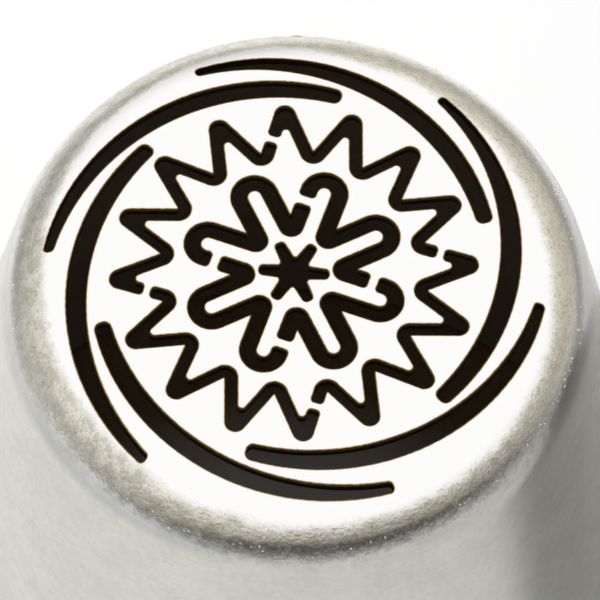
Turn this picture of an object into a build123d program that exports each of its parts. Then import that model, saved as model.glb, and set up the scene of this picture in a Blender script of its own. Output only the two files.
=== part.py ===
from build123d import *
import os
from math import asin, atan2, cos, degrees, hypot, radians, sin, tan

# Piping nozzle, in millimetres. Z is the axis of the nozzle and Z = 0 is the plane it stands on,
# with its slotted face up. The head is a dished cap with the slots. The barrel is a rolled sleeve
# with a curled rim. One weld bead joins head and barrel, and another closes the sleeve at +Y.

# Sheet and overall sizes
nozzle_height = 37.0
sheet = 0.45
overrun = 1.0

# Barrel: straight collar at the base, cone above it, curled rim below it
collar_bore_radius = 16.0
collar_height = 8.0
collar_bend_radius = 6.0
curl_radius = 0.95
curl_sweep = 300.0
rim_flat_depth = 0.05

# Head: flat middle, slightly crowned edge, then the shoulder arc. The slots sit a little off the axis.
shoulder_inset = 1.07
crown_radius = 9.4
crown_angle = 13.0
shoulder_radius = 3.9
slots_off_axis = 0.18

# Weld between head and barrel, by where it starts and how far it turns along the shoulder arc,
# and the weld up the barrel
shoulder_weld_start = 53.0
shoulder_weld_turn = 8.0
weld_root_bead = 0.12
seam_width = 0.6

# Star slot in the middle of the face
star_count = 6
star_phase = -4.4
star_reach = 1.4
star_tip_width = 0.37
star_root_radius = 0.52
star_tip_rounding = 0.16
star_root_rounding = 0.16

# Flower slots: one band round eight fingers of metal, cut into four slots by four bridges
flower_count = 8
flower_phase = 25.4
star_flower_web = 0.22
flower_lobe_length = 3.02
flower_slot_width = 0.62
flower_finger_width = 0.65
flower_notch_rounding = 0.065
flower_bridge_width = 0.45
flower_bridge_share = 0.76

# Zigzag slots: one band with sixteen spikes, cut into four slots by four bridges
spike_count = 16
spike_phase = 2.8
spike_half_angle = 19.6
flower_zigzag_web = 0.33
zigzag_slot_width = 0.456
spike_tip_rounding = 0.39
spike_notch_rounding = 0.085
spike_inner_tip_rounding = 0.21
spike_valley_rounding = 0.5
zigzag_bridge_width = 0.37
zigzag_bridge_share = 0.576

# Swirl slots: six tapering arcs, each starting inside the tail of the one before
swirl_count = 6
swirl_phase = 16.3
swirl_sweep = 96.9
zigzag_swirl_web = 0.36
swirl_rise = 1.94
swirl_mid_rise_share = 0.376
swirl_start_width = 0.6
swirl_mid_width = 0.78
swirl_end_width = 0.36
swirl_end_rounding_share = 0.42

# Bridges in one band, and the rounding of the slot ends beside them
bridge_count = 4
slot_end_rounding = 0.14
slot_end_search_share = 0.6


def polar(radius, angle):
    return (radius * cos(radians(angle)), radius * sin(radians(angle)))


def shifted(point, radius, angle):
    return (point[0] + radius * cos(radians(angle)), point[1] + radius * sin(radians(angle)))


# How far a rounding pulls a sharp corner back, for a corner of the given half angle
def corner_setback(rounding, half_angle):
    return rounding * (1 / sin(radians(half_angle)) - 1)


# Flower radii, from the middle outwards
flower_step = 360 / flower_count
flower_valley_radius = star_reach + star_flower_web
flower_reach = flower_valley_radius + flower_lobe_length
finger_radius = flower_finger_width / 2
lobe_radius = finger_radius + flower_slot_width
lobe_centre_radius = flower_reach - lobe_radius
finger_corner_radius = finger_radius / sin(radians(flower_step / 2))
flower_valley_rounding = (flower_valley_radius - finger_corner_radius) / (
    1 / sin(radians(flower_step / 2)) - 1
)

# Zigzag radii. The spikes' flanks are straight, and the inner outline runs parallel to the outer one.
spike_step = 360 / spike_count
notch_half_angle = spike_half_angle + spike_step / 2
valley_setback = corner_setback(spike_valley_rounding, notch_half_angle)
valley_radius = flower_reach + flower_zigzag_web - valley_setback
notch_radius = valley_radius + zigzag_slot_width / sin(radians(notch_half_angle))
notch_x, notch_y = polar(notch_radius, spike_step / 2)
tip_radius = notch_x + notch_y / tan(radians(spike_half_angle))
inner_tip_radius = tip_radius - zigzag_slot_width / sin(radians(spike_half_angle))
spike_reach = tip_radius - corner_setback(spike_tip_rounding, spike_half_angle)

# Swirl radii, on the middle line of each tapering slot
swirl_start_radius = spike_reach + zigzag_swirl_web + swirl_start_width / 2
swirl_mid_radius = swirl_start_radius + swirl_rise * swirl_mid_rise_share
swirl_end_radius = swirl_start_radius + swirl_rise
swirl_reach = swirl_end_radius + swirl_end_width / 2

# Outer skin of the shell, as radius and height: flat face, crown arc, shoulder arc, cone, bend, collar
face_edge_radius = swirl_reach - shoulder_inset
flat_radius = face_edge_radius - crown_radius * sin(radians(crown_angle))
crown_centre = (flat_radius, nozzle_height - crown_radius)
shoulder_centre = shifted(crown_centre, crown_radius - shoulder_radius, 90 - crown_angle)
collar_radius = collar_bore_radius + sheet
bend_centre = (collar_radius - collar_bend_radius, collar_height)
bend_run = bend_centre[0] - shoulder_centre[0]
bend_drop = shoulder_centre[1] - bend_centre[1]
bend_distance = hypot(bend_run, bend_drop)
cone_half_angle = degrees(
    atan2(bend_run, bend_drop) - asin((shoulder_radius - collar_bend_radius) / bend_distance)
)
curl_centre = (collar_bore_radius + curl_radius, curl_radius - rim_flat_depth)
rim_radius = curl_centre[0] + curl_radius

# Angles from the X axis of the shoulder arc's upper end and of the weld's two faces
shoulder_top_angle = 90 - crown_angle
weld_top_angle = 90 - shoulder_weld_start
weld_bottom_angle = weld_top_angle - shoulder_weld_turn
head_turn = weld_top_angle - shoulder_top_angle


# A star-shaped face whose tips are the spikes and whose roots lie between them, its corners rounded
def star_face(tip, root, tip_rounding, root_rounding):
    points = []
    for index in range(spike_count):
        points.append(polar(tip, spike_phase + index * spike_step))
        points.append(polar(root, spike_phase + (index + 1 / 2) * spike_step))
    with BuildSketch() as star:
        with BuildLine():
            Polyline(*points, close=True)
        make_face()
        fillet(star.vertices().group_by(SortBy.DISTANCE)[-1], tip_rounding)
        fillet(star.vertices().group_by(SortBy.DISTANCE)[0], root_rounding)
    return star.sketch


# Rays from the middle, each a bar with a round end, joined and rounded where they meet
def ray_face(half_width, end_centre_radius, corner_rounding):
    with BuildSketch() as rays:
        with PolarLocations(0, flower_count, flower_phase):
            with Locations((end_centre_radius / 2, 0)):
                Rectangle(end_centre_radius, 2 * half_width)
            with Locations((end_centre_radius, 0)):
                Circle(half_width)
        fillet(rays.vertices().group_by(SortBy.DISTANCE)[0], corner_rounding)
    return rays.sketch


# A band between two outlines, cut by bridges that lie square across it, with its slot ends rounded
def bridged_band(outer, inner, slot_width, bridge_width, bridge_point, across_angle):
    bridge_radius = hypot(*bridge_point)
    bridge_angle = degrees(atan2(bridge_point[1], bridge_point[0]))
    bridge_step = 360 / bridge_count
    bridges = [polar(bridge_radius, bridge_angle + index * bridge_step) for index in range(bridge_count)]
    end_reach = slot_end_search_share * hypot(bridge_width, slot_width)
    with BuildSketch() as band:
        add(outer)
        add(inner, mode=Mode.SUBTRACT)
        with PolarLocations(bridge_radius, bridge_count, bridge_angle):
            turn = across_angle - bridge_angle
            Rectangle(2 * slot_width, bridge_width, rotation=turn, mode=Mode.SUBTRACT)
        ends = [
            corner
            for corner in band.vertices()
            if min(hypot(corner.X - x, corner.Y - y) for x, y in bridges) < end_reach
        ]
        fillet(ends, slot_end_rounding)
    return band.sketch


# Star slot: tapering rays with blunt rounded tips
with BuildSketch() as star_slot:
    star_points = []
    for index in range(star_count):
        ray_angle = star_phase + index * 360 / star_count
        tip_middle = polar(star_reach, ray_angle)
        star_points.append(shifted(tip_middle, star_tip_width / 2, ray_angle - 90))
        star_points.append(shifted(tip_middle, star_tip_width / 2, ray_angle + 90))
        star_points.append(polar(star_root_radius, ray_angle + 180 / star_count))
    with BuildLine():
        Polyline(*star_points, close=True)
    make_face()
    fillet(star_slot.vertices().group_by(SortBy.DISTANCE)[-1], star_tip_rounding)
    fillet(star_slot.vertices().group_by(SortBy.DISTANCE)[0], star_root_rounding)

# Flower slots: the band between the lobes and the fingers, its bridges on one leg of every other lobe
leg_offset = (lobe_radius + finger_radius) / 2
leg_start = leg_offset / tan(radians(flower_step / 2))
leg_axis = flower_phase + flower_step
bridge_distance = leg_start + flower_bridge_share * (lobe_centre_radius - leg_start)
flower_slots = bridged_band(
    ray_face(lobe_radius, lobe_centre_radius, flower_notch_rounding),
    ray_face(finger_radius, lobe_centre_radius, flower_valley_rounding),
    flower_slot_width,
    flower_bridge_width,
    shifted(polar(bridge_distance, leg_axis), leg_offset, leg_axis + 90),
    leg_axis + 90,
)

# Zigzag slots: the band between two star outlines, its bridges on one flank of every fourth spike
flank_top = polar((tip_radius + inner_tip_radius) / 2, spike_phase)
flank_bottom = polar((notch_radius + valley_radius) / 2, spike_phase + spike_step / 2)
flank_bridge = (
    flank_top[0] + zigzag_bridge_share * (flank_bottom[0] - flank_top[0]),
    flank_top[1] + zigzag_bridge_share * (flank_bottom[1] - flank_top[1]),
)
zigzag_slots = bridged_band(
    star_face(tip_radius, notch_radius, spike_tip_rounding, spike_notch_rounding),
    star_face(inner_tip_radius, valley_radius, spike_inner_tip_rounding, spike_valley_rounding),
    zigzag_slot_width,
    zigzag_bridge_width,
    flank_bridge,
    spike_phase + 180 - spike_half_angle + 90,
)

# Swirl slot: two arcs that close in on each other towards the tail, its four corners rounded
with BuildSketch() as swirl_slot:
    swirl_half_widths = (swirl_start_width / 2, swirl_mid_width / 2, swirl_end_width / 2)
    swirl_radii = (swirl_start_radius, swirl_mid_radius, swirl_end_radius)
    swirl_angles = (0, swirl_sweep / 2, swirl_sweep)
    outer_edge = [polar(r + w, a) for r, w, a in zip(swirl_radii, swirl_half_widths, swirl_angles)]
    inner_edge = [polar(r - w, a) for r, w, a in zip(swirl_radii, swirl_half_widths, swirl_angles)]
    with BuildLine():
        ThreePointArc(*outer_edge)
        ThreePointArc(*inner_edge)
        Line(outer_edge[0], inner_edge[0])
        Line(outer_edge[2], inner_edge[2])
    make_face()
    for end, end_width in ((0, swirl_start_width), (2, swirl_end_width)):
        corners = [
            swirl_slot.vertices().sort_by_distance(edge[end])[0] for edge in (outer_edge, inner_edge)
        ]
        fillet(corners, swirl_end_rounding_share * end_width)

# Head: the flat face, its crowned edge and the shoulder down to the weld, the slots cut straight down
with BuildPart() as nozzle_head:
    with BuildSketch(Plane.XZ):
        with BuildLine():
            Line((0, nozzle_height), (flat_radius, nozzle_height))
            CenterArc(crown_centre, crown_radius, 90, -crown_angle)
            CenterArc(shoulder_centre, shoulder_radius, shoulder_top_angle, head_turn)
            Line(
                shifted(shoulder_centre, shoulder_radius, weld_top_angle),
                shifted(shoulder_centre, shoulder_radius - sheet, weld_top_angle),
            )
            CenterArc(shoulder_centre, shoulder_radius - sheet, shoulder_top_angle, head_turn)
            CenterArc(crown_centre, crown_radius - sheet, 90, -crown_angle)
            Line((flat_radius, nozzle_height - sheet), (0, nozzle_height - sheet))
            Line((0, nozzle_height - sheet), (0, nozzle_height))
        make_face()
    revolve(axis=Axis.Z)
    with BuildSketch(Plane((-slots_off_axis, 0, nozzle_height + overrun))):
        add(star_slot.sketch)
        add(flower_slots)
        add(zigzag_slots)
        with PolarLocations(0, swirl_count, swirl_phase):
            add(swirl_slot.sketch)
    extrude(amount=-(shoulder_radius + overrun), mode=Mode.SUBTRACT)
nozzle_head.part.label = "nozzle_head"

# Weld between head and barrel: it follows the shoulder outside and stands a little proud inside
with BuildPart() as shoulder_weld:
    root_radius = shoulder_radius - sheet - weld_root_bead
    with BuildSketch(Plane.XZ):
        with BuildLine():
            CenterArc(shoulder_centre, shoulder_radius, weld_top_angle, -shoulder_weld_turn)
            CenterArc(shoulder_centre, root_radius, weld_top_angle, -shoulder_weld_turn)
            for weld_angle in (weld_top_angle, weld_bottom_angle):
                Line(
                    shifted(shoulder_centre, shoulder_radius, weld_angle),
                    shifted(shoulder_centre, root_radius, weld_angle),
                )
        make_face()
    revolve(axis=Axis.Z)
shoulder_weld.part.label = "shoulder_weld"


# Section of the barrel's sheet: end of the shoulder, cone, bend, collar and the curl at the rim
with BuildSketch(Plane.XZ) as barrel_section:
    sleeve_turn = cone_half_angle - weld_bottom_angle
    with BuildLine():
        for depth in (0, sheet):
            shoulder_skin = shoulder_radius - depth
            bend_skin = collar_bend_radius - depth
            collar_skin = collar_radius - depth
            CenterArc(shoulder_centre, shoulder_skin, weld_bottom_angle, sleeve_turn)
            Line(
                shifted(shoulder_centre, shoulder_skin, cone_half_angle),
                shifted(bend_centre, bend_skin, cone_half_angle),
            )
            CenterArc(bend_centre, bend_skin, cone_half_angle, -cone_half_angle)
            Line((collar_skin, bend_centre[1]), (collar_skin, curl_centre[1]))
            CenterArc(curl_centre, curl_radius - sheet + depth, 180, curl_sweep)
        Line(
            shifted(shoulder_centre, shoulder_radius, weld_bottom_angle),
            shifted(shoulder_centre, shoulder_radius - sheet, weld_bottom_angle),
        )
        Line(
            shifted(curl_centre, curl_radius - sheet, 180 + curl_sweep),
            shifted(curl_centre, curl_radius, 180 + curl_sweep),
        )
    make_face()

# Sleeve: the section turned about the axis and set flat at the rim
with BuildPart() as sleeve:
    revolve(barrel_section.sketch, axis=Axis.Z)
    split(bisect_by=Plane.XY, keep=Keep.TOP)

# Outline of the slit at the back of the sleeve, from inside its narrow end to past its rim
with BuildSketch(Plane.XY) as seam_slit:
    with Locations((0, rim_radius)):
        Rectangle(seam_width, 2 * (rim_radius - flat_radius))

# Barrel: the sleeve with its slit
with BuildPart() as barrel:
    add(sleeve.part)
    extrude(seam_slit.sketch, amount=nozzle_height, mode=Mode.SUBTRACT)
barrel.part.label = "barrel"

# Weld up the barrel: what fills the slit
with BuildPart() as seam_weld:
    add(sleeve.part)
    extrude(seam_slit.sketch, amount=nozzle_height, mode=Mode.INTERSECT)
seam_weld.part.label = "seam_weld"

os.makedirs("parts", exist_ok=True)
export_step(nozzle_head.part, "parts/nozzle_head.step")
export_step(shoulder_weld.part, "parts/shoulder_weld.step")
export_step(barrel.part, "parts/barrel.step")
export_step(seam_weld.part, "parts/seam_weld.step")
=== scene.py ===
from math import atan2, asin, ceil, cos, degrees, hypot, pi, radians, sin, sqrt, tau

import bmesh
import bpy
import numpy as np
from mathutils import Matrix, Vector, noise
from mathutils.geometry import delaunay_2d_cdt
from mathutils.kdtree import KDTree


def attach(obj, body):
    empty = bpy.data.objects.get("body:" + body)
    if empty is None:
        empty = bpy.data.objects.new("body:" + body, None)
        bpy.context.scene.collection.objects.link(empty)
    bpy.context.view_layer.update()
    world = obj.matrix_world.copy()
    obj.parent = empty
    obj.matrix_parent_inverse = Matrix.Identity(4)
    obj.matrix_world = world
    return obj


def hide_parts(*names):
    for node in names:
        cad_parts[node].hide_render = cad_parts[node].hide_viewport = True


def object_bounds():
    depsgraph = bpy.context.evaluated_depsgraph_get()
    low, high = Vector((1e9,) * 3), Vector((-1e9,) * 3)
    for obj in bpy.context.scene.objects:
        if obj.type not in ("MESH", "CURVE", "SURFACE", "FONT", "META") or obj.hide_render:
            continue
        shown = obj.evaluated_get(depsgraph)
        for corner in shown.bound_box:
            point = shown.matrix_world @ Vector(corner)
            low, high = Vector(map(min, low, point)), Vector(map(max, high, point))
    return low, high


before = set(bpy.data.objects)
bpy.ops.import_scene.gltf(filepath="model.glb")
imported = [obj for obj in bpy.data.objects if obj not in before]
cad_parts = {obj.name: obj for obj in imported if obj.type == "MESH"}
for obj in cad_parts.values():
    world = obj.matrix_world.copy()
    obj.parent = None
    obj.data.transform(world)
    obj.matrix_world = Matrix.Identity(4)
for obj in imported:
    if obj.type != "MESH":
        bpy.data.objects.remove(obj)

# Piping nozzle. The shell is worked out in millimetres from these sizes and becomes metres where a
# mesh is made. Z is the nozzle's axis, the slotted face looks up and the seam is at +Y.
MM = 0.001

cad_low, cad_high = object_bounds()
nozzle_height = cad_high.z / MM
sheet = 0.45
collar_bore_radius = 16.0
collar_height = 8.0
collar_bend_radius = 6.0
curl_radius = 0.95
curl_sweep = 300.0
rim_flat_depth = 0.05
crown_radius = 9.4
crown_angle = 13.0
shoulder_radius = 3.9
face_edge_radius = 9.168
slots_off_axis = 0.18
shoulder_weld_start = 53.0
shoulder_weld_turn = 8.0
weld_root_bead = 0.12
seam_width = 0.6

# Derived places on the section, as radius and height
flat_radius = face_edge_radius - crown_radius * sin(radians(crown_angle))
crown_z = nozzle_height - crown_radius
shoulder_x = face_edge_radius - shoulder_radius * sin(radians(crown_angle))
shoulder_z = crown_z + (crown_radius - shoulder_radius) * cos(radians(crown_angle))
collar_radius = collar_bore_radius + sheet
bend_x = collar_radius - collar_bend_radius
bend_z = collar_height
curl_x = collar_bore_radius + curl_radius
curl_z = curl_radius - rim_flat_depth
shoulder_weld_end = shoulder_weld_start + shoulder_weld_turn
bend_reach = hypot(bend_x - shoulder_x, shoulder_z - bend_z)
bend_lean = asin((shoulder_radius - collar_bend_radius) / bend_reach)
cone_angle = degrees(atan2(bend_x - shoulder_x, shoulder_z - bend_z) - bend_lean)

# Small forms: the rounded edge of a slot, the ripples left in the dressed seam and how far its heat colour
# reaches, the hollows left in the dressed shoulder weld and the specks of weld metal on it
edge_round = 0.075
edge_drop = 0.05
edge_rows = (1 - sin(pi / 4), 0)
seam_crown = 0.02
seam_ripple = 0.012
seam_ripple_length = 0.55
seam_ripple_bow = 0.35
seam_relief_fade = 2.0
seam_halo = 1.3
hollow_depth = 0.012
hollow_size = 0.22
small_hollow_share = 0.5
small_hollow_ratio = 2.1
speck_radius = 0.045
speck_least_share = 0.35
speck_density = 3.2
speck_seed = 11

# Mesh fineness: steps in millimetres, then counts of columns round the nozzle and of rows down its section
slot_step = 0.08
ring_step = 0.28
least_ring_count = 8
head_rim_columns = 480
shell_columns = 288
bead_columns = 720
seam_columns = 9
shoulder_rows = 8
cone_rows = 26
bend_rows = 8
collar_rows = 8
inner_curl_rows = 48
outer_curl_rows = 72
bead_rows = 11
root_rows = 7
speck_subdivisions = 2

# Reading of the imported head: corners nearer than this are one. A face whose normal rises more than the first
# value is skin, and one that rises less than the second is a slot's wall.
same_point = 0.002
skin_rise = 0.6
wall_rise = 0.3

# Least lengths, against division by nothing on the axis and doubled points in the disc
disc_tolerance = 1e-6
least_length = 1e-9
least_radius = 0.01

# Numbers of the finishes on barrel, seam and bead: outside, inside and the bead's specks
outer_finish, inner_finish, speck_finish = 0, 1, 2


# Meshes: points with a normal for each face corner, so that the thin polished shell reflects smoothly
class Skin:
    def __init__(self):
        self.points = []
        self.faces = []
        self.normals = []
        self.finishes = []

    def add(self, points):
        start = len(self.points)
        self.points.extend(points)
        return start

    def face(self, corners, normals, finish):
        self.faces.append(corners)
        self.normals.extend(normals)
        self.finishes.append(finish)

    def piece(self, name, slot, node, finishes):
        mesh = bpy.data.meshes.new(name)
        mesh.from_pydata([(x * MM, y * MM, z * MM) for x, y, z in self.points], [], self.faces)
        for finish in finishes:
            mesh.materials.append(finish)
        mesh.polygons.foreach_set("material_index", self.finishes)
        mesh.polygons.foreach_set("use_smooth", [True] * len(self.faces))
        mesh.normals_split_custom_set(self.normals)
        mesh.update()
        piece = bpy.data.objects.new(name, mesh)
        bpy.context.scene.collection.objects.link(piece)
        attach(piece, "root")
        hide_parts(node)
        return piece


# Maker of nodes in a tree: inputs are given by name or number, as values or as other nodes' outputs
class Nodes:
    def __init__(self, tree):
        self.tree = tree

    def node(self, kind, settings=None, **inputs):
        made = self.tree.nodes.new(kind)
        for key, value in (settings or {}).items():
            setattr(made, key, value)
        for key, value in inputs.items():
            key = int(key[1:]) if key[0] == "i" and key[1:].isdigit() else key.replace("_", " ")
            self.put(made.inputs[key], value)
        return made

    def put(self, socket, value):
        if isinstance(value, bpy.types.Node):
            value = value.outputs[0]
        if isinstance(value, bpy.types.NodeSocket):
            self.tree.links.new(value, socket)
        else:
            socket.default_value = value

    def math(self, operation, a, b=0.0, c=0.0):
        return self.node("ShaderNodeMath", {"operation": operation}, i0=a, i1=b, i2=c)

    def both(self, a, b):
        return self.math("MULTIPLY", a, b)

    def scaled(self, value, factor, added):
        return self.math("MULTIPLY_ADD", value, factor, added)

    # What is left of 1
    def rest(self, value):
        return self.math("SUBTRACT", 1.0, value)

    # How far a mark is from its middle level
    def centred(self, value):
        return self.math("SUBTRACT", value, 0.5)

    # Two marks, of which the second has this share
    def blend(self, a, b, share):
        return self.scaled(a, 1.0 - share, self.both(b, share))

    def over(self, operation, a, b):
        return self.node("ShaderNodeVectorMath", {"operation": operation}, i0=a, i1=b)

    # 0 below the first value and 1 above the second, with a smooth step between
    def step(self, value, low, high):
        settings = {"interpolation_type": "SMOOTHSTEP"}
        return self.node("ShaderNodeMapRange", settings, Value=value, From_Min=low, From_Max=high)

    # A zone that rises between the first two values and falls between the last two
    def band(self, value, low, rise, fall, high):
        return self.both(self.step(value, low, rise), self.rest(self.step(value, fall, high)))

    def grain(self, at, waves, detail=2.0, rough=0.5):
        marks = {"Vector": at, "Scale": waves, "Detail": detail, "Roughness": rough}
        return self.node("ShaderNodeTexNoise", {"noise_dimensions": "3D"}, **marks)

    def mix(self, share, a, b):
        return self.node("ShaderNodeMix", {"data_type": "RGBA"}, i0=share, i6=a, i7=b).outputs[2]


# Height and outward slope of the head's skin at a radius, at a depth into the sheet
def head_skin(radius, depth):
    radius = np.asarray(radius, float)
    crown, shoulder = crown_radius - depth, shoulder_radius - depth
    edge = flat_radius + crown * sin(radians(crown_angle))
    slope = np.where(radius > edge, (radius - shoulder_x) / shoulder, (radius - flat_radius) / crown)
    slope = np.clip(slope, 0, 1)
    rise = np.sqrt(1 - slope**2)
    height = np.where(radius > edge, shoulder_z + shoulder * rise, crown_z + crown * rise)
    return height, slope


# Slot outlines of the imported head, as closed counter-clockwise rings of points in the plane
def slot_outlines():
    mesh = bmesh.new()
    mesh.from_mesh(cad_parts["nozzle_head"].data)
    bmesh.ops.remove_doubles(mesh, verts=mesh.verts, dist=same_point * MM)
    mesh.normal_update()
    onward = {}
    for edge in mesh.edges:
        if len(edge.link_faces) != 2:
            continue
        tops = [f for f in edge.link_faces if f.normal.z > skin_rise]
        walls = [f for f in edge.link_faces if abs(f.normal.z) < wall_rise]
        if len(tops) == 1 and len(walls) == 1:
            for loop in edge.link_loops:
                if loop.face == walls[0]:
                    onward[loop.vert.index] = (loop.link_loop_next.vert.index, loop.vert.co.copy())
    outlines = []
    while onward:
        first = next(iter(onward))
        ring, here = [], first
        while here in onward:
            here, place = onward.pop(here)
            ring.append((place.x / MM, place.y / MM))
        outlines.append(np.array(ring))
    mesh.free()
    return [ring if ring_area(ring) > 0 else ring[::-1] for ring in outlines]


def ring_area(ring):
    onward = np.roll(ring, -1, 0)
    return float(np.sum(ring[:, 0] * onward[:, 1] - ring[:, 1] * onward[:, 0])) / 2


# The same outline with more points, on smooth curves between the given ones
def finer(ring, step):
    ahead = np.roll(ring, -1, 0) - ring
    reach = np.linalg.norm(ahead, axis=1)
    behind, behind_reach = np.roll(ahead, 1, 0), np.roll(reach, 1)
    tangent = behind * behind_reach[:, None] ** 2 + ahead * reach[:, None] ** 2
    tangent /= np.linalg.norm(tangent, axis=1)[:, None]
    made = []
    for index in range(len(ring)):
        after = (index + 1) % len(ring)
        count = max(1, ceil(reach[index] / step))
        for share in np.arange(count) / count:
            here = (2 * share**3 - 3 * share**2 + 1) * ring[index]
            here = here + (3 * share**2 - 2 * share**3) * ring[after]
            here = here + (share**3 - 2 * share**2 + share) * reach[index] * tangent[index]
            here = here + (share**3 - share**2) * reach[index] * tangent[after]
            made.append(here)
    return np.array(made)


# Directions out of a counter-clockwise ring, square to it
def ring_normals(ring):
    along = np.roll(ring, -1, 0) - np.roll(ring, 1, 0)
    along /= np.linalg.norm(along, axis=1)[:, None]
    return np.stack([along[:, 1], -along[:, 0]], axis=1)


def inside(points, ring):
    found = np.zeros(len(points), bool)
    low, high = ring.min(0), ring.max(0)
    near = np.nonzero(np.all((points >= low) & (points <= high), axis=1))[0]
    if not len(near):
        return found
    x, y = points[near, 0][:, None], points[near, 1][:, None]
    x0, y0 = ring[:, 0], ring[:, 1]
    x1, y1 = np.roll(x0, -1), np.roll(y0, -1)
    crosses = (y0 > y) != (y1 > y)
    with np.errstate(divide="ignore", invalid="ignore"):
        meets = (x1 - x0) * (y - y0) / (y1 - y0) + x0
    found[near] = np.sum(crosses & (x < meets), axis=1) % 2 == 1
    return found


def circle(radius, count):
    turn = np.arange(count) * tau / count
    return np.stack([radius * np.cos(turn), radius * np.sin(turn)], axis=1)


# Triangles that fill a disc round its holes. Gives the points, the triangles and each ring's point numbers.
def holed_disc(holes, rim):
    rings = [*holes, rim]
    fixed = np.concatenate(rings)
    reach = float(np.hypot(*rim[0]))
    inner = []
    for radius in np.arange(ring_step, reach - ring_step / 3, ring_step):
        inner.append(circle(radius, max(least_ring_count, int(tau * radius / ring_step))))
    inner = np.concatenate(inner)
    tree = KDTree(len(fixed))
    for index, (x, y) in enumerate(fixed):
        tree.insert((x, y, 0), index)
    tree.balance()
    clear = np.array([tree.find((x, y, 0))[2] > slot_step for x, y in inner])
    for hole in holes:
        clear &= ~inside(inner, hole)
    inner = inner[clear]
    edges, starts, start = [], [], 0
    for ring in rings:
        starts.append(start)
        edges.extend((start + i, start + (i + 1) % len(ring)) for i in range(len(ring)))
        start += len(ring)
    given = [Vector(p) for p in np.concatenate([fixed, inner])]
    points, _, triangles, sources, _, _ = delaunay_2d_cdt(given, edges, [], 0, disc_tolerance, True)
    points = np.array([tuple(p) for p in points])
    place = {source: index for index, found in enumerate(sources) for source in found}
    middles = points[np.array(triangles)].mean(1)
    keep = np.ones(len(triangles), bool)
    for hole in holes:
        keep &= ~inside(middles, hole)
    numbers = [[place[s + i] for i in range(len(ring))] for s, ring in zip(starts, rings)]
    return points, [t for t, k in zip(triangles, keep) if k], numbers


# Head: crowned face and shoulder with its slots, their edges rounded over
def slotted_head(finishes):
    outer, edge_skin, slot_skin, inner = range(len(finishes))
    skin = Skin()
    slots = [finer(ring, slot_step) for ring in slot_outlines()]
    out = [ring_normals(ring) for ring in slots]
    weld_turn = radians(shoulder_weld_start)
    ends = [shoulder_x + (shoulder_radius - depth) * sin(weld_turn) for depth in (0, sheet)]
    layers = []
    for depth, widened, reach in ((0, edge_round, ends[0]), (sheet, 0, ends[1])):
        holes = [ring + widened * normal for ring, normal in zip(slots, out)]
        points, triangles, rings = holed_disc(holes, circle(reach, head_rim_columns))
        radius = np.hypot(points[:, 0], points[:, 1])
        height, slope = head_skin(radius, depth)
        start = skin.add(list(zip(points[:, 0], points[:, 1], height)))
        side = 1 if depth == 0 else -1
        away = points / np.maximum(radius, least_length)[:, None]
        normals = np.stack([away[:, 0] * slope, away[:, 1] * slope, np.sqrt(1 - slope**2)], 1) * side
        for triangle in triangles:
            corners = list(triangle)[::side]
            finish = outer if side == 1 else inner
            skin.face([start + c for c in corners], [normals[c] for c in corners], finish)
        layers.append((start, normals, rings))
    (top, top_normals, top_rings), (bottom, _, bottom_rings) = layers
    for index, (ring, normal) in enumerate(zip(slots, out)):
        count = len(ring)
        rows = [[top + n for n in top_rings[index]]]
        row_normals = [top_normals[top_rings[index]]]
        wall = np.concatenate([-normal, np.zeros((count, 1))], axis=1)
        for share in edge_rows:
            edge = ring + share * edge_round * normal
            height = head_skin(np.hypot(edge[:, 0], edge[:, 1]), 0)[0]
            drop = edge_drop * (1 - sqrt(1 - (1 - share) ** 2))
            start = skin.add(list(zip(edge[:, 0], edge[:, 1], height - drop)))
            rows.append(list(range(start, start + count)))
            blend = row_normals[0] * share + wall * (1 - share)
            row_normals.append(blend / np.linalg.norm(blend, axis=1)[:, None])
        rows.append([bottom + n for n in bottom_rings[index]])
        row_normals.append(wall)
        for row in range(len(rows) - 1):
            upper, lower = rows[row], rows[row + 1]
            above, beneath = row_normals[row], row_normals[row + 1]
            finish = edge_skin if row < len(edge_rows) else slot_skin
            for i in range(count):
                j = (i + 1) % count
                corners = [upper[i], upper[j], lower[j], lower[i]]
                corner_normals = [above[i], above[j], beneath[j], beneath[i]]
                skin.face(corners, corner_normals, finish)
    upper, lower = [top + n for n in top_rings[-1]], [bottom + n for n in bottom_rings[-1]]
    rim = circle(1, head_rim_columns)
    faced = [(x * cos(weld_turn), y * cos(weld_turn), -sin(weld_turn)) for x, y in rim]
    for i in range(head_rim_columns):
        j = (i + 1) % head_rim_columns
        skin.face([lower[i], lower[j], upper[j], upper[i]], [faced[i], faced[j], faced[j], faced[i]], inner)
    return skin.piece("slotted_head", "head_steel", "nozzle_head", finishes)


# One stretch of a section: places along an arc with their normals, from start to end angle
def arc_run(centre_x, centre_z, radius, start, end, side, count):
    run = []
    for turn in np.radians(np.linspace(start, end, count)):
        out, up = cos(turn), sin(turn)
        run.append(((centre_x + radius * out, centre_z + radius * up), (side * out, side * up)))
    return run


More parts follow.
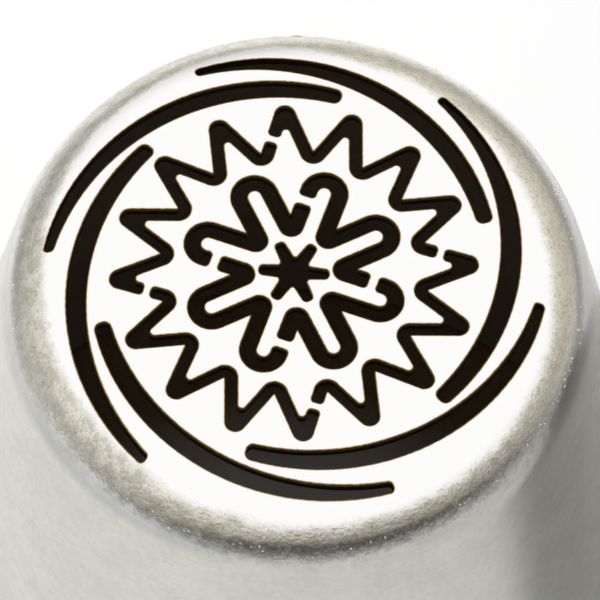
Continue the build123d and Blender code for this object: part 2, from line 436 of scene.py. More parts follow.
# The barrel's section as a closed chain of runs, each with its finish
def barrel_runs():
    weld_side = 90 - shoulder_weld_end
    skins = []
    for depth, side in ((0, 1), (sheet, -1)):
        shoulder, bend = shoulder_radius - depth, collar_bend_radius - depth
        run = arc_run(shoulder_x, shoulder_z, shoulder, weld_side, cone_angle, side, shoulder_rows)
        bend = arc_run(bend_x, bend_z, bend, cone_angle, 0, side, bend_rows)
        (x0, z0), normal = run[-1]
        (x1, z1), _ = bend[0]
        for share in np.linspace(0, 1, cone_rows)[1:-1]:
            run.append(((x0 + share * (x1 - x0), z0 + share * (z1 - z0)), normal))
        run += bend
        for height in np.linspace(bend_z, curl_z, collar_rows)[1:-1]:
            run.append(((collar_radius - depth, height), (side, 0)))
        skins.append(run)
    curl_end = 180 + curl_sweep
    inner_curl = arc_run(curl_x, curl_z, curl_radius - sheet, 180, curl_end, -1, inner_curl_rows)
    outer_curl = arc_run(curl_x, curl_z, curl_radius, 180, curl_end, 1, outer_curl_rows)
    land = [index for index, ((_, z), _) in enumerate(outer_curl) if z < 0]
    half_land = sqrt(curl_radius**2 - curl_z**2)
    before = outer_curl[: land[0]] + [((curl_x - half_land, 0), outer_curl[land[0]][1])]
    flat = [((curl_x - half_land, 0), (0, -1)), ((curl_x, 0), (0, -1)), ((curl_x + half_land, 0), (0, -1))]
    after = [((curl_x + half_land, 0), outer_curl[land[-1]][1])] + outer_curl[land[-1] + 1 :]
    end_turn = radians(curl_end)
    end_normal = (-sin(end_turn), cos(end_turn))
    top_turn = radians(weld_side)
    top_normal = (-sin(top_turn), cos(top_turn))
    outside, inside_run = skins
    return [
        (outside + inner_curl, outer_finish),
        ([(inner_curl[-1][0], end_normal), (outer_curl[-1][0], end_normal)], outer_finish),
        (after[::-1], outer_finish),
        (flat[::-1], outer_finish),
        (before[::-1], inner_finish),
        ([(before[0][0], (-1, 0))] + inside_run[::-1], inner_finish),
        ([(inside_run[0][0], top_normal), (outside[0][0], top_normal)], inner_finish),
    ]


# A sheet section carried round the axis. The turn of a column may depend on the radius, as along a slit.
def turned(skin, runs, turns, closed, relief=None):
    columns = len(turns)
    chain = [place for run, _ in runs for place, _ in run[:-1]]
    numbers = []
    for column, turn in enumerate(turns):
        start = len(skin.points)
        numbers.append(start)
        for index, (radius, height) in enumerate(chain):
            angle = turn(radius)
            if relief:
                radius, height = relief(radius, height, angle, column, index)
            skin.points.append((radius * cos(angle), radius * sin(angle), height))
    rows = len(chain)
    row = 0
    for run, finish in runs:
        for (place, normal), (next_place, next_normal) in zip(run, run[1:]):
            below = (row + 1) % rows
            for column in range(columns if closed else columns - 1):
                after = (column + 1) % columns
                left, right = numbers[column], numbers[after]
                turned_normals = []
                for side, (out, up), radius in (
                    (column, normal, place[0]),
                    (column, next_normal, next_place[0]),
                    (after, next_normal, next_place[0]),
                    (after, normal, place[0]),
                ):
                    angle = turns[side](radius)
                    turned_normals.append((out * cos(angle), out * sin(angle), up))
                skin.face([left + row, left + below, right + below, right + row], turned_normals, finish)
            row += 1
    return numbers


# A flat end of an open turned sheet, which faces +X or -X
def cap(skin, runs, start, x_side):
    chain = [place for run, _ in runs for place, _ in run[:-1]]
    mesh = bmesh.new()
    face = mesh.faces.new([mesh.verts.new((x, z, 0)) for x, z in chain])
    made = bmesh.ops.triangulate(mesh, faces=[face], ngon_method="BEAUTY")["faces"]
    mesh.verts.index_update()
    for triangle in made:
        corners = [vert.index for vert in triangle.verts]
        (x0, z0), (x1, z1), (x2, z2) = (chain[c] for c in corners)
        turning = (x1 - x0) * (z2 - z0) - (x2 - x0) * (z1 - z0)
        if turning * x_side < 0:
            corners.reverse()
        skin.face([start + c for c in corners], [(x_side, 0, 0)] * 3, inner_finish)
    mesh.free()


# The turn of a barrel's column at a share of the way round, from one side of the slit to the other
def barrel_turn(share):
    def turn(radius):
        slit = asin(min(1, seam_width / 2 / radius))
        return pi / 2 + slit + share * (tau - 2 * slit)

    return turn


# Barrel: the rolled sleeve with its curled rim, open at the back by the slit that the seam fills
def rolled_barrel(finishes):
    skin = Skin()
    runs = barrel_runs()
    turns = [barrel_turn(share) for share in np.linspace(0, 1, shell_columns)]
    numbers = turned(skin, runs, turns, False)
    cap(skin, runs, numbers[0], 1)
    cap(skin, runs, numbers[-1], -1)
    return skin.piece("rolled_barrel", "barrel_steel", "barrel", finishes)


# Seam: fills the slit, dressed on the outside with low ripples left in it
def side_seam(finishes):
    skin = Skin()
    runs = barrel_runs()
    places = np.linspace(1, -1, seam_columns)
    turns = [lambda radius, place=place: pi / 2 - asin(place * seam_width / 2 / radius) for place in places]

    def relief(radius, height, angle, column, index):
        place = places[column]
        fade = min(1, max(0, (height - 2 * curl_radius) / seam_relief_fade)) * (1 - place**2)
        wave = sin(tau * (height / seam_ripple_length + seam_ripple_bow * place**2))
        outside = radius > shell_middle(height)
        rise = fade * (seam_crown + seam_ripple * wave)
        return radius + (rise if outside else -rise), height

    numbers = turned(skin, runs, turns, False, relief)
    cap(skin, runs, numbers[0], 1)
    cap(skin, runs, numbers[-1], -1)
    return skin.piece("side_seam", "seam_steel", "seam_weld", finishes)


# Radius of the middle of the barrel's sheet at a height
def shell_middle(height):
    lean = radians(cone_angle)
    if height > shoulder_z + shoulder_radius * sin(lean):
        rise = min(1, (height - shoulder_z) / (shoulder_radius - sheet / 2))
        return shoulder_x + (shoulder_radius - sheet / 2) * sqrt(1 - rise**2)
    if height > bend_z + collar_bend_radius * sin(lean):
        top_x = shoulder_x + (shoulder_radius - sheet / 2) * cos(lean)
        top_z = shoulder_z + (shoulder_radius - sheet / 2) * sin(lean)
        return top_x + (top_z - height) * sin(lean) / cos(lean)
    rise = max(0, height - bend_z) / (collar_bend_radius - sheet / 2)
    return bend_x + (collar_bend_radius - sheet / 2) * sqrt(1 - rise**2)


# Weld round the shoulder: dressed outside, with small hollows left in it, and with a root bead inside
def shoulder_bead(finishes):
    skin = Skin()
    start, end = 90 - shoulder_weld_start, 90 - shoulder_weld_end
    root_radius = shoulder_radius - sheet - weld_root_bead
    outside = arc_run(shoulder_x, shoulder_z, shoulder_radius, start, end, 1, bead_rows)
    root = arc_run(shoulder_x, shoulder_z, root_radius, end, start, -1, root_rows)
    down, up = radians(end), radians(start)
    runs = [
        (outside, outer_finish),
        ([(outside[-1][0], (sin(down), -cos(down))), (root[0][0], (sin(down), -cos(down)))], inner_finish),
        (root, inner_finish),
        ([(root[-1][0], (-sin(up), cos(up))), (outside[0][0], (-sin(up), cos(up)))], inner_finish),
    ]
    turns = [lambda radius, share=share: share * tau for share in np.arange(bead_columns) / bead_columns]

    def relief(radius, height, angle, column, index):
        if 0 < index < len(outside) - 1:
            at = Vector((radius * cos(angle), radius * sin(angle), height)) / hollow_size
            small = small_hollow_share * noise.noise(at * small_hollow_ratio)
            dent = hollow_depth * max(0, noise.noise(at) + small)
            out_x, out_z = radius - shoulder_x, height - shoulder_z
            reach = hypot(out_x, out_z)
            return radius - dent * out_x / reach, height - dent * out_z / reach
        return radius, height

    turned(skin, runs, turns, True, relief)
    specks = weld_specks(outside, finishes[speck_finish])
    start = skin.add([tuple(vertex.co / MM) for vertex in specks.vertices])
    for speck_face in specks.polygons:
        corners = list(speck_face.vertices)
        normals = [tuple(specks.vertices[c].normal) for c in corners]
        skin.face([start + c for c in corners], normals, speck_finish)
    bpy.data.meshes.remove(specks)
    return skin.piece("shoulder_bead", "weld_steel", "shoulder_weld", finishes)


# Tiny beads of weld metal left on the dressed bead: scattered over its outer band by Geometry Nodes
def weld_specks(section, finish):
    band = bpy.data.meshes.new("bead_band")
    columns = shell_columns
    places = [
        (x * cos(turn) * MM, x * sin(turn) * MM, z * MM)
        for turn in np.arange(columns) * tau / columns
        for (x, z), _ in section
    ]
    rows = len(section)
    faces = [
        (c * rows + r, c * rows + r + 1, (c + 1) % columns * rows + r + 1, (c + 1) % columns * rows + r)
        for c in range(columns)
        for r in range(rows - 1)
    ]
    band.from_pydata(places, [], faces)
    carrier = bpy.data.objects.new("bead_band", band)
    bpy.context.scene.collection.objects.link(carrier)
    tree = bpy.data.node_groups.new("scattered_specks", "GeometryNodeTree")
    tree.interface.new_socket("Geometry", in_out="INPUT", socket_type="NodeSocketGeometry")
    sizes = {"Speck Radius": speck_radius * MM, "Specks per Area": speck_density / MM**2}
    for name, size in sizes.items():
        socket = tree.interface.new_socket(name, in_out="INPUT", socket_type="NodeSocketFloat")
        sizes[name] = (socket.identifier, size)
    tree.interface.new_socket("Geometry", in_out="OUTPUT", socket_type="NodeSocketGeometry")
    n = Nodes(tree)
    given = n.node("NodeGroupInput").outputs
    scatter = n.node("GeometryNodeDistributePointsOnFaces", Mesh=given["Geometry"], Seed=speck_seed)
    n.put(scatter.inputs["Density"], given["Specks per Area"])
    ball = n.node("GeometryNodeMeshIcoSphere", Radius=given["Speck Radius"], Subdivisions=speck_subdivisions)
    vary = n.node("FunctionNodeRandomValue", {"data_type": "FLOAT"}, i2=speck_least_share, Seed=speck_seed)
    spread = n.node("GeometryNodeInstanceOnPoints", Points=scatter, Instance=ball, Scale=vary.outputs[1])
    real = n.node("GeometryNodeRealizeInstances", Geometry=spread)
    painted = n.node("GeometryNodeSetMaterial", Geometry=real, Material=finish)
    n.node("NodeGroupOutput", Geometry=painted)
    modifier = carrier.modifiers.new("scattered_specks", "NODES")
    modifier.node_group = tree
    for identifier, size in sizes.values():
        modifier[identifier] = size
    graph = bpy.context.evaluated_depsgraph_get()
    made = bpy.data.meshes.new_from_object(carrier.evaluated_get(graph))
    carrier.modifiers.remove(modifier)
    bpy.data.objects.remove(carrier)
    bpy.data.meshes.remove(band)
    return made


# A material of the nozzle or the table, with its places on the shell
class Finish(Nodes):
    def __init__(self, name):
        self.material = bpy.data.materials.new(name)
        self.material.use_nodes = True
        super().__init__(self.material.node_tree)
        self.shader = self.tree.nodes["Principled BSDF"]

    # Places on the shell in millimetres: all of them, the turn about the shoulder's centre in degrees, a
    # place that runs along the section, the direction out from the axis, and the radius
    def places(self):
        at = self.node("ShaderNodeTexCoord").outputs["Object"]
        at = self.node("ShaderNodeVectorMath", {"operation": "SCALE"}, Vector=at, Scale=1 / MM)
        x, y, z = self.node("ShaderNodeSeparateXYZ", i0=at).outputs
        radius = self.math("SQRT", self.math("ADD", self.both(x, x), self.both(y, y)))
        out = self.math("SUBTRACT", radius, shoulder_x)
        up = self.math("SUBTRACT", z, shoulder_z)
        turn = self.math("DEGREES", self.math("ARCTAN2", out, up))
        along = self.math("SUBTRACT", radius, z)
        off_axis = self.math("MAXIMUM", radius, least_radius)
        around = (self.math("DIVIDE", x, off_axis), self.math("DIVIDE", y, off_axis))
        return at, turn, along, around, radius

    # 1 where the skin faces an azimuth, 0 where it is square to it and -1 where it faces away
    def toward(self, around, azimuth):
        x, y = cos(radians(azimuth)), sin(radians(azimuth))
        return self.scaled(around[1], y, self.both(around[0], x))

    # Coordinates for marks that run round the nozzle: few along the circle and many down the section
    def lathe(self, along, around, per_turn, per_mm):
        x, y = self.both(around[0], per_turn), self.both(around[1], per_turn)
        return self.node("ShaderNodeCombineXYZ", i0=x, i1=y, i2=self.both(along, per_mm))

    # Bare steel, with its relief's depth in millimetres
    def steel(self, colour, roughness, relief, depth):
        self.put(self.shader.inputs["Base Color"], colour)
        self.put(self.shader.inputs["Metallic"], 1.0)
        self.put(self.shader.inputs["Roughness"], roughness)
        bump = self.node("ShaderNodeBump", Height=relief, Distance=depth * MM)
        self.put(self.shader.inputs["Normal"], bump)
        return self.material


# Colours of the steel, from the polished face to the dark line of the weld, and of the satin wall
# Also the colour of the painted highlight at the two sides
polished_and_highlight_white = (0.98, 0.975, 0.965, 1)
grain_tan = (0.82, 0.80, 0.71, 1)
grain_shade = (0.59, 0.572, 0.485, 1)
# Painted light: the lighter, warmer straw laid on one side of the grain
straw_light = (0.80, 0.765, 0.60, 1)
pit_grey = (0.30, 0.29, 0.26, 1)
weld_brown = (0.26, 0.25, 0.225, 1)
# Also the colour of the painted shade below the line at the front left
weld_blue_and_shade = (0.31, 0.335, 0.385, 1)
satin_grey = (0.855, 0.847, 0.80, 1)
satin_shade = (0.765, 0.757, 0.71, 1)
seam_straw = (0.60, 0.53, 0.40, 1)
seam_blue = (0.55, 0.555, 0.565, 1)
edge_straw = (0.66, 0.52, 0.26, 1)
edge_brown = (0.40, 0.28, 0.12, 1)
scorch_straw = (0.62, 0.42, 0.17, 1)
scorch_brown = (0.13, 0.085, 0.045, 1)
scorch_black = (0.04, 0.026, 0.014, 1)
speck_white = (0.97, 0.97, 0.95, 1)
speck_grey = (0.80, 0.80, 0.78, 1)
inner_straw = (0.52, 0.40, 0.27, 1)
inner_brown = (0.38, 0.29, 0.19, 1)
# Painted shade inside the nozzle, towards its mouth
painted_inner_shade = (0.25, 0.20, 0.14, 1)

# Zones down the shoulder, in degrees of turn: where each begins, is full, begins to fade and has gone
grain_turns = (30.0, 38.0, 56.0, 66.0)
line_turns = (49.5, 53.5, 56.0, 64.0)
line_blue_turns = (54.0, 58.0)
# Band of the painted highlight at the two sides
side_highlight_turns = (45.0, 52.0, 58.0, 66.0)
# Band of the painted shade below the line at the front left
shaded_front_turns = (56.0, 63.0, 66.0, 76.0)
wall_turns = (58.0, 70.0)
ragged_degrees = 9.0
patchy_degrees = 7.0

# Sides where the shoulder differs: the azimuth of each, how squarely the skin faces it where the side begins
# and where it is full, and how many degrees nearer the face the grain, or the line, lies there
dark_azimuth, dark_side_edge, dark_shift = 284.0, (0.5, 1.0), -5.0
# Painted light: towards this azimuth the grain is painted lighter and warmer with straw
painted_straw_azimuth, painted_straw_side_edge, painted_straw_shift = 40.0, (0.55, 0.9), 7.0
# Painted light and shade: the grain is painted lighter towards this azimuth and darker away from it
painted_lit_azimuth, painted_lit_shift = 325.0, -1.5
late_azimuth, late_side_edge, late_shift = 128.0, (0.62, 0.92), -4.0
# Painted shade: below the line the wall is painted darker towards this azimuth, where the line also moves
shaded_front_azimuth, shaded_front_side_edge, shaded_front_shift = 230.0, (0.85, 0.98), -2.0

# Marks: waves per millimetre, octaves and how much the small ones weigh
peel_marks = (3.2, 3.0, 0.6)
patch_marks = (0.55, 2.0, 0.5)
fine_marks = (8.0, 2.0, 0.6)
glint_marks = (7.0, 2.0, 0.6)
mottle_marks = (1.6, 3.0, 0.65)
edge_marks = (5.0, 2.0)
speck_marks = (12.0, 2.0)
inner_cloud_marks = (0.8, 3.0)
table_marks = (0.02, 2.0)

# Marks that run round the nozzle or down a slot's wall: waves in each direction, then octaves and weight
drawn_waves, drawn_marks = (40.0, 4.0), (1.0, 3.0, 0.6)
line_waves, line_marks = (3.0, 11.0), (1.0, 2.0, 0.6)
inner_line_waves, inner_line_marks = (3.0, 6.0), (1.0, 2.0)
ridge_waves, ridge_marks = (14.0, 14.0, 1.0), (1.0, 2.0)

# Levels of the marks between which a colour comes in, and how much of it there is at most
# The last value is how much painted light the grain takes on its lit side
mottle_levels, mottle_drawn_share, painted_lit_share = (0.40, 0.60), 0.3, 0.32
# Where the straw painted light comes in on its side, and its share
straw_light_edge, straw_light_share = (0.2, 0.9), 0.5
cloud_levels, cloud_peel_share = (0.35, 0.65), 0.6
pit_levels, pit_share = (0.57, 0.66), 0.45
glint_levels, glint_share = (0.60, 0.68), 0.4
fleck_levels, fleck_drawn_share, fleck_share = (0.60, 0.46), 0.5, 0.6
heat_power, heat_share, least_heat = 2.0, 0.70, 0.20
# Painted highlight at the two sides: how tightly it keeps to them, and its share
side_highlight_power, side_highlight_share = 4.0, 0.25
# Share of the painted shade at the front left
shaded_front_share = 0.38
halo_raggedness, halo_share = 0.6, 0.55
edge_levels = (0.35, 0.65)
scorch_depths, scorch_raggedness = (0.08, 0.26), 0.1
# Heights in millimetres over which the painted shade inside gives way, from the mouth upwards
painted_inner_shade_heights = (-12.0, 26.0)

# Roughness, and what the marks add to it
face_rough, grain_rough, wall_rough, line_rough = 0.10, 0.12, 0.17, 0.025
seam_rough, seam_rough_marks = 0.2, 0.2
edge_rough, edge_rough_marks = 0.25, 0.2
scorch_rough, deep_scorch_rough = 0.65, -0.2
speck_rough, speck_rough_marks = 0.15, 0.2
inner_rough, inner_rough_marks = 0.4, 0.2
table_rough, table_rough_marks = 0.55, 0.1

# Relief: depths in millimetres, and the shares of the marks in the outer skin's and the seam's
outer_relief, seam_relief, edge_relief = 0.024, 0.018, 0.003
slot_wall_relief, speck_relief, inner_relief = 0.006, 0.002, 0.004
peel_relief, drawn_relief, fine_relief, line_relief = 0.5, 0.3, 0.45, 0.008
least_grain_relief = 0.02
seam_bow, seam_raggedness, seam_peel_relief = 1.2, 0.25, 0.5


# The outer skin of head, weld and barrel: mirror-bright face, drawn and grainy shoulder with the dark line of
# the weld at its lower border, satin barrel with faint lines round it and heat colour beside its seam
def outer_steel():
    f = Finish("polished_outer_steel")
    at, turn, along, around, _ = f.places()
    drawn = f.grain(f.lathe(along, around, *drawn_waves), *drawn_marks)
    lines = f.grain(f.lathe(along, around, *line_waves), *line_marks)
    peel = f.grain(at, *peel_marks)
    patches = f.grain(at, *patch_marks)
    fine = f.grain(at, *fine_marks)
    dark_side = f.toward(around, dark_azimuth)
    painted_straw_side = f.toward(around, painted_straw_azimuth)
    painted_lit_side = f.toward(around, painted_lit_azimuth)
    late_side = f.toward(around, late_azimuth)
    shaded_front_side = f.step(f.toward(around, shaded_front_azimuth), *shaded_front_side_edge)

    # Zones: their borders are ragged, and lie higher or lower on some sides
    ragged = f.scaled(f.centred(peel), ragged_degrees, turn)
    grain_turn = f.scaled(f.centred(patches), patchy_degrees, ragged)
    for side, shift in (
        (f.step(dark_side, *dark_side_edge), dark_shift),
        (f.step(painted_straw_side, *painted_straw_side_edge), painted_straw_shift),
        (painted_lit_side, painted_lit_shift),
        (f.step(late_side, *late_side_edge), late_shift),
    ):
        grain_turn = f.scaled(side, shift, grain_turn)
    grain_zone = f.band(grain_turn, *grain_turns)
    line_turn = f.scaled(shaded_front_side, shaded_front_shift, ragged)
    line_zone = f.band(line_turn, *line_turns)
    wall_zone = f.step(turn, *wall_turns)

    # Colour of the grain, of the satin wall, and of the pits and glints in the grain. The grain is painted
    # lighter towards
    # azimuth 325 and darker on the far side: painted light and shade.
    mottle = f.blend(f.grain(at, *mottle_marks), drawn, mottle_drawn_share)
    mottle = f.scaled(painted_lit_side, painted_lit_share, f.step(mottle, *mottle_levels))
    grain_colour = f.mix(mottle, grain_shade, grain_tan)
    # Painted light: lighter, warmer straw on the grain towards azimuth 40
    grain_colour = f.mix(f.both(f.step(painted_straw_side, *straw_light_edge), straw_light_share), grain_colour, straw_light)
    colour = f.mix(grain_zone, polished_and_highlight_white, grain_colour)
    cloudy = f.step(f.blend(patches, peel, cloud_peel_share), *cloud_levels)
    colour = f.mix(wall_zone, colour, f.mix(cloudy, satin_shade, satin_grey))
    pits = f.both(f.step(fine, *pit_levels), grain_zone)
    colour = f.mix(f.both(pits, pit_share), colour, pit_grey)
    glints = f.both(f.step(f.grain(at, *glint_marks), *glint_levels), grain_zone)
    colour = f.mix(f.both(glints, glint_share), colour, polished_and_highlight_white)

    # Dark line of the weld, brown above and blue below, with flecks of bare steel left in it
    heat = f.math("POWER", f.math("MAXIMUM", dark_side, 0.0), heat_power)
    heat = f.scaled(heat, heat_share, least_heat)
    flecks = f.step(f.blend(fine, drawn, fleck_drawn_share), *fleck_levels)
    dark = f.both(f.both(line_zone, heat), f.scaled(flecks, fleck_share, 1.0 - fleck_share))
    colour = f.mix(dark, colour, f.mix(f.step(line_turn, *line_blue_turns), weld_brown, weld_blue_and_shade))

    # Painted highlight, brighter at the two sides, and painted shade, darker below the line at the front left
    bright = f.math("POWER", f.math("ABSOLUTE", around[0]), side_highlight_power)
    bright = f.both(bright, f.band(turn, *side_highlight_turns))
    colour = f.mix(f.both(bright, side_highlight_share), colour, polished_and_highlight_white)
    # Painted shade: darker blue-grey below the line at the front left
    soft = f.both(shaded_front_side, f.band(turn, *shaded_front_turns))
    colour = f.mix(f.both(soft, shaded_front_share), colour, weld_blue_and_shade)

    # Heat colour beside the seam, which is at +Y only
    x, y, _ = f.node("ShaderNodeSeparateXYZ", i0=at).outputs
    off_seam = f.scaled(f.math("LESS_THAN", y, 0.0), collar_radius, f.math("ABSOLUTE", x))
    off_seam = f.scaled(peel, halo_raggedness, off_seam)
    halo = f.rest(f.step(off_seam, seam_width / 2, seam_halo))
    colour = f.mix(f.both(f.both(halo, wall_zone), halo_share), colour, seam_straw)

    rough = f.scaled(grain_zone, grain_rough, face_rough)
    rough = f.scaled(wall_zone, wall_rough, rough)
    rough = f.scaled(f.centred(lines), line_rough, rough)
    relief = f.math("ADD", f.both(peel, peel_relief), f.both(drawn, drawn_relief))
    relief = f.scaled(fine, fine_relief, relief)
    relief = f.both(relief, f.scaled(grain_zone, 1.0, least_grain_relief))
    relief = f.scaled(f.both(lines, wall_zone), line_relief, relief)
    return f.steel(colour, rough, relief, outer_relief)


# Seam weld: dressed nearly flush, with its ripples and a little heat colour left in it
def seam_steel():
    f = Finish("rippled_seam_steel")
    at, _, _, _, _ = f.places()
    x, _, z = f.node("ShaderNodeSeparateXYZ", i0=at).outputs
    peel = f.grain(at, *peel_marks)
    bowed = f.scaled(peel, seam_raggedness, f.scaled(f.both(x, x), seam_bow, z))
    crest = f.scaled(f.math("SINE", f.both(bowed, tau / seam_ripple_length)), 0.5, 0.5)
    colour = f.mix(crest, seam_blue, satin_shade)
    rough = f.scaled(peel, seam_rough_marks, seam_rough)
    return f.steel(colour, rough, f.scaled(peel, seam_peel_relief, crest), seam_relief)


# Rounded edge of a slot, tinted straw and brown by the heat of the cut
def edge_tint():
    f = Finish("heat_tinted_edge")
    at, _, _, _, _ = f.places()
    cloud = f.grain(at, *edge_marks)
    colour = f.mix(f.step(cloud, *edge_levels), edge_straw, edge_brown)
    return f.steel(colour, f.scaled(cloud, edge_rough_marks, edge_rough), cloud, edge_relief)


# Cut wall of a slot: scorched nearly black under a straw lip, with fine ridges across the sheet
def slot_wall():
    f = Finish("scorched_slot_wall")
    at, _, _, _, radius = f.places()
    ridges = f.grain(f.over("MULTIPLY", at, ridge_waves), *ridge_marks)
    crown_run = f.math("MAXIMUM", f.math("SUBTRACT", radius, flat_radius), 0.0)
    crown_drop = f.math("DIVIDE", f.both(crown_run, crown_run), 2 * crown_radius)
    height = f.node("ShaderNodeSeparateXYZ", i0=at).outputs["Z"]
    depth = f.math("SUBTRACT", nozzle_height, f.math("ADD", height, crown_drop))
    deep = f.step(f.scaled(ridges, scorch_raggedness, depth), *scorch_depths)
    colour = f.mix(deep, scorch_straw, f.mix(ridges, scorch_black, scorch_brown))
    return f.steel(colour, f.scaled(deep, deep_scorch_rough, scorch_rough), ridges, slot_wall_relief)


# Specks of weld metal: bare and bright, with a little roughness
def speck_steel():
    f = Finish("bright_weld_specks")
    at, _, _, _, _ = f.places()
    cloud = f.grain(at, *speck_marks)
    colour = f.mix(cloud, speck_grey, speck_white)
    return f.steel(colour, f.scaled(cloud, speck_rough_marks, speck_rough), cloud, speck_relief)


# Unpolished skin inside the nozzle, with painted shade that makes it darker and browner towards its mouth
def inner_steel():
    f = Finish("dull_inner_steel")
    at, _, along, around, _ = f.places()
    cloud = f.grain(at, *inner_cloud_marks)
    lines = f.grain(f.lathe(along, around, *inner_line_waves), *inner_line_marks)
    height = f.node("ShaderNodeSeparateXYZ", i0=at).outputs["Z"]
    colour = f.mix(cloud, inner_brown, inner_straw)
    # Painted shade: darker and browner down towards the mouth
    colour = f.mix(f.step(height, *painted_inner_shade_heights), painted_inner_shade, colour)
    return f.steel(colour, f.scaled(lines, inner_rough_marks, inner_rough), lines, inner_relief)


# Studio: a white tent over the nozzle, dim towards the horizon and dimmest on the camera's side, and a pale
# table that a low softbox lights from the left and a high one from behind
tent_axis = Vector((-0.06, 0.16, 1)).normalized()
tent_white_angle = 60.0
tent_dim_angle = 96.0
horizon_light = 0.42
horizon_lean = Vector((-0.06, 0.24, 0))
fill_light = 0.04
warm_light = (1.0, 0.965, 0.84, 1)
plain_white = (1, 1, 1, 1)
# Each softbox: azimuth and elevation it shines from, distance, size, where it aims, spread and power
softboxes = {
    "key_softbox": (174.0, 14.0, 800.0, 60.0, (140.0, -95.0), 32.0, 0.375),
    "back_softbox": (97.0, 60.0, 420.0, 100.0, (-12.0, 74.0), 20.0, 0.043),
}


def studio_world():
    world = bpy.data.worlds.new("white_tent")
    bpy.context.scene.world = world
    world.use_nodes = True
    world.node_tree.nodes.clear()
    n = Nodes(world.node_tree)
    facing = n.node("ShaderNodeTexCoord").outputs["Generated"]
    angle = n.math("ARCCOSINE", n.over("DOT_PRODUCT", facing, tent_axis).outputs["Value"])
    lean = n.over("DOT_PRODUCT", facing, horizon_lean).outputs["Value"]
    tent = n.step(angle, radians(tent_white_angle), radians(tent_dim_angle))
    n.put(tent.inputs["To Min"], 1.0)
    n.put(tent.inputs["To Max"], n.math("ADD", lean, horizon_light))
    paths = n.node("ShaderNodeLightPath").outputs
    shown = paths["Is Glossy Ray"]
    light = n.node("ShaderNodeMix", {"data_type": "FLOAT"}, i0=shown, i2=fill_light, i3=tent)
    light = n.math("MAXIMUM", light, paths["Is Camera Ray"])
    back = n.node("ShaderNodeBackground", Color=n.mix(light, warm_light, plain_white), Strength=light)
    n.node("ShaderNodeOutputWorld", Surface=back)


# Table: pale, and nearly white where the camera sees it. Its far part shows bright to the steel, less so to
# the front right, and inside the nozzle the table has painted shade, dusky towards the rim, with a faint
# painted glow.
table_half = 1500.0
table_drop = 0.02
table_pale = (0.90, 0.90, 0.895, 1)
table_shade = (0.86, 0.86, 0.85, 1)
# Painted shade on the table inside the nozzle, towards its rim
hollow_painted_shade = (0.70, 0.60, 0.46, 1)
table_white_share = 0.8
table_far = (90.0, 210.0)
table_far_share = 0.58
table_dim_azimuth, table_dim_edge = 300.0, (0.2, 0.8)
table_dim_share = 0.40
# Painted light in the hollow: how white the camera sees its middle, and the glow other rays get there
hollow_white_share = 0.022
hollow_glow = 0.022
# The hollow's lit middle, and the distances over which the painted shade comes in round it
hollow_light_centre = (0.0, -4.0, 0.0)
hollow_light_edge = (16.0, 10.5)


def table():
    f = Finish("pale_table")
    at, _, _, around, radius = f.places()
    cloud = f.grain(at, *table_marks)
    pale = f.mix(cloud, table_shade, table_pale)
    outside = f.step(radius, curl_x, curl_x + curl_radius)
    away = f.over("DISTANCE", at, hollow_light_centre).outputs["Value"]
    # Painted shade inside the nozzle, away from the lit middle
    hollow_light = f.step(away, *hollow_light_edge)
    f.put(f.shader.inputs["Base Color"], f.mix(outside, f.mix(hollow_light, hollow_painted_shade, pale), pale))
    f.put(f.shader.inputs["Roughness"], f.scaled(cloud, table_rough_marks, table_rough))
    paths = f.node("ShaderNodeLightPath").outputs
    seen = paths["Is Camera Ray"]
    # Painted glow in the hollow, with a lighter middle for the camera
    hollow = f.math("SUBTRACT", hollow_glow, f.both(seen, hollow_glow))
    hollow = f.scaled(f.both(hollow_light, hollow_white_share), seen, hollow)
    hollow = f.both(f.rest(outside), hollow)
    share = f.scaled(f.both(outside, table_white_share), seen, hollow)
    far = f.both(f.step(radius, *table_far), paths["Is Glossy Ray"])
    dim = f.step(f.toward(around, table_dim_azimuth), *table_dim_edge)
    share = f.scaled(far, f.scaled(dim, -table_dim_share, table_far_share), share)
    white = f.node("ShaderNodeEmission", Color=plain_white, Strength=1.0)
    mixed = f.node("ShaderNodeMixShader", i0=share, i1=f.shader, i2=white)
    f.put(f.tree.nodes["Material Output"].inputs["Surface"], mixed)
    mesh = bpy.data.meshes.new("table")
    reach, level = table_half * MM, -table_drop * MM
    corners = [(-reach, -reach), (reach, -reach), (reach, reach), (-reach, reach)]
    mesh.from_pydata([(x, y, level) for x, y in corners], [], [(0, 1, 2, 3)])
    mesh.materials.append(f.material)
    made = bpy.data.objects.new("table", mesh)
    bpy.context.scene.collection.objects.link(made)


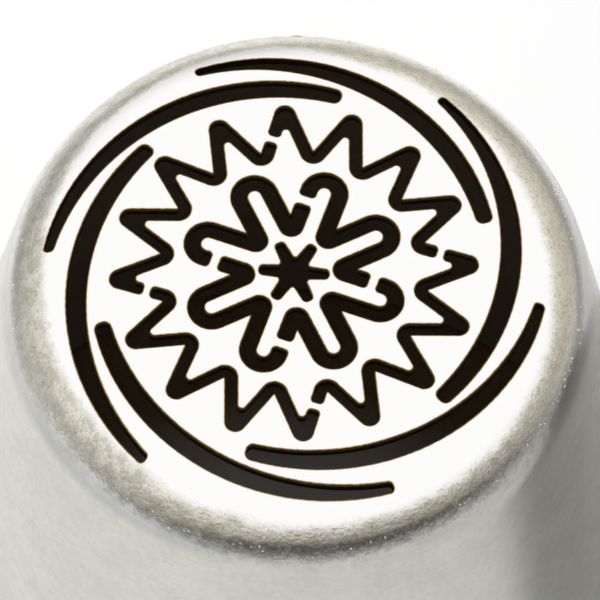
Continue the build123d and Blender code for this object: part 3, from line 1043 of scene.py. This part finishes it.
def softbox(name, azimuth, elevation, distance, size, aim, spread, power):
    light = bpy.data.lights.new(name, "AREA")
    light.shape = "DISK"
    light.size = size * MM
    light.spread = radians(spread)
    light.energy = power
    made = bpy.data.objects.new(name, light)
    bpy.context.scene.collection.objects.link(made)
    a, e = radians(azimuth), radians(elevation)
    back = Vector((cos(a) * cos(e), sin(a) * cos(e), sin(e)))
    made.location = (Vector((*aim, 0)) + back * distance) * MM
    made.rotation_mode = "QUATERNION"
    made.rotation_quaternion = back.to_track_quat("Z", "Y")
    made.visible_glossy = False


# Camera: the face's middle sits at this pixel of a 600 pixel frame, and its normal leans to the camera so
picture_side = 600
face_pixel_x, face_pixel_y = 293.97, 271.82
focal_pixels = 9600
camera_distance = 389.1
face_tilt = 24.68
face_swing = 87.9
sensor_width = 36
clip_near, clip_far = 10.0, 10000.0


def camera():
    data = bpy.data.cameras.new("camera")
    data.sensor_width = sensor_width
    data.lens = focal_pixels * sensor_width / picture_side
    data.clip_start, data.clip_end = clip_near * MM, clip_far * MM
    made = bpy.data.objects.new("camera", data)
    bpy.context.scene.collection.objects.link(made)
    tilt, swing = radians(face_tilt), radians(face_swing)
    normal = Vector((sin(tilt) * cos(swing), sin(tilt) * sin(swing), cos(tilt)))
    turn = Vector((0, 0, 1)).rotation_difference(normal).to_matrix()
    aside = (face_pixel_x - picture_side / 2) / focal_pixels * camera_distance
    down = (face_pixel_y - picture_side / 2) / focal_pixels * camera_distance
    from_camera = Vector((aside, -down, -camera_distance)) * MM
    face = Vector((-slots_off_axis, 0, nozzle_height)) * MM
    back = turn.transposed()
    made.matrix_world = Matrix.Translation(face - back @ from_camera) @ back.to_4x4()
    bpy.context.scene.camera = made


outer = outer_steel()
inner = inner_steel()
slotted_head([outer, edge_tint(), slot_wall(), inner])
rolled_barrel([outer, inner])
side_seam([seam_steel(), inner])
shoulder_bead([outer, inner, speck_steel()])
table()
studio_world()
for name, settings in softboxes.items():
    softbox(name, *settings)
camera()

bpy.context.scene.view_settings.view_transform = "Standard"
bpy.context.view_layer.update()
